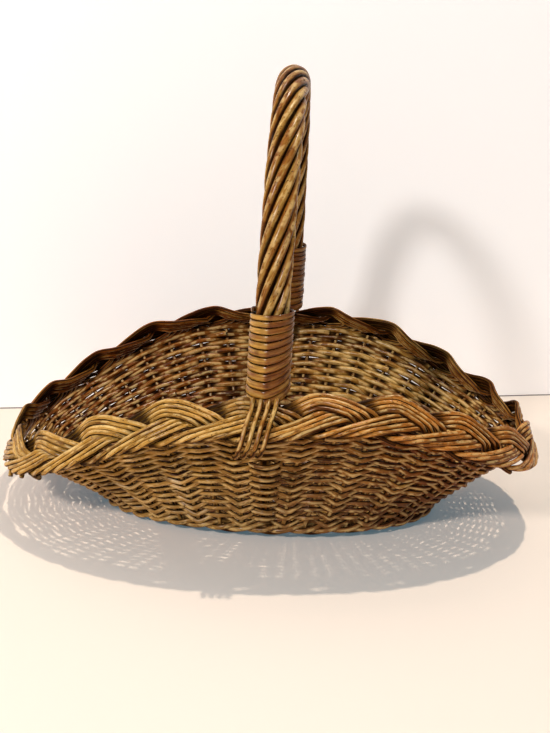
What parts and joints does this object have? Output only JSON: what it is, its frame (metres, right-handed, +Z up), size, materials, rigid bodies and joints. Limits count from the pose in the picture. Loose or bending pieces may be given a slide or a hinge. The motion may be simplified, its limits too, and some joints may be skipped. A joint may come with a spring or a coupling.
{
  "type": "mushroom foraging basket",
  "caption": "Oval willow foraging basket: woven bowl swept low at both ends, plaited border and a roped bow handle bound at its feet.",
  "frame": {"origin": "middle of the base's flat underside, on the table", "axes": "+X along the bowl's long axis to its higher end, +Y along the short axis to the back foot of the handle, +Z up"},
  "size_m": [0.4634, 0.3443, 0.3752],
  "materials": {
    "base_willow": "varnished willow, dull",
    "wall_willow": "varnished willow, satin",
    "plait_willow": "varnished willow, satin",
    "handle_willow": "varnished willow, satin",
    "skein_willow": "varnished split willow, glossy"
  },
  "bodies": {
    "root": {"back_binding": "skein_willow", "base_weave": "base_willow", "bow_core": "handle_willow", "front_binding": "skein_willow", "long_base_stick_1": "base_willow", "long_base_stick_2": "base_willow", "long_base_stick_3": "base_willow", "plait_strand_1": "plait_willow", "plait_strand_2": "plait_willow", "plait_strand_3": "plait_willow", "roping_rod_1": "handle_willow", "roping_rod_2": "handle_willow", "roping_rod_3": "handle_willow", "roping_rod_4": "handle_willow", "roping_rod_5": "handle_willow", "roping_rod_6": "handle_willow", "roping_rod_7": "handle_willow", "roping_rod_8": "handle_willow", "short_base_stick_1": "base_willow", "short_base_stick_2": "base_willow", "short_base_stick_3": "base_willow", "short_base_stick_4": "base_willow", "short_base_stick_5": "base_willow", "siding_band_1": "wall_willow", "siding_band_10": "wall_willow", "siding_band_11": "wall_willow", "siding_band_12": "wall_willow", "siding_band_13": "wall_willow", "siding_band_14": "wall_willow", "siding_band_2": "wall_willow", "siding_band_3": "wall_willow", "siding_band_4": "wall_willow", "siding_band_5": "wall_willow", "siding_band_6": "wall_willow", "siding_band_7": "wall_willow", "siding_band_8": "wall_willow", "siding_band_9": "wall_willow", "stake_pair_01": "wall_willow", "stake_pair_02": "wall_willow", "stake_pair_03": "wall_willow", "stake_pair_04": "wall_willow", "stake_pair_05": "wall_willow", "stake_pair_06": "wall_willow", "stake_pair_07": "wall_willow", "stake_pair_08": "wall_willow", "stake_pair_09": "wall_willow", "stake_pair_10": "wall_willow", "stake_pair_11": "wall_willow", "stake_pair_12": "wall_willow", "stake_pair_13": "wall_willow", "stake_pair_14": "wall_willow", "stake_pair_15": "wall_willow", "stake_pair_16": "wall_willow", "stake_pair_17": "wall_willow", "stake_pair_18": "wall_willow", "stake_pair_19": "wall_willow", "stake_pair_20": "wall_willow", "upsett_wale": "wall_willow"}
  },
  "joints": []
}
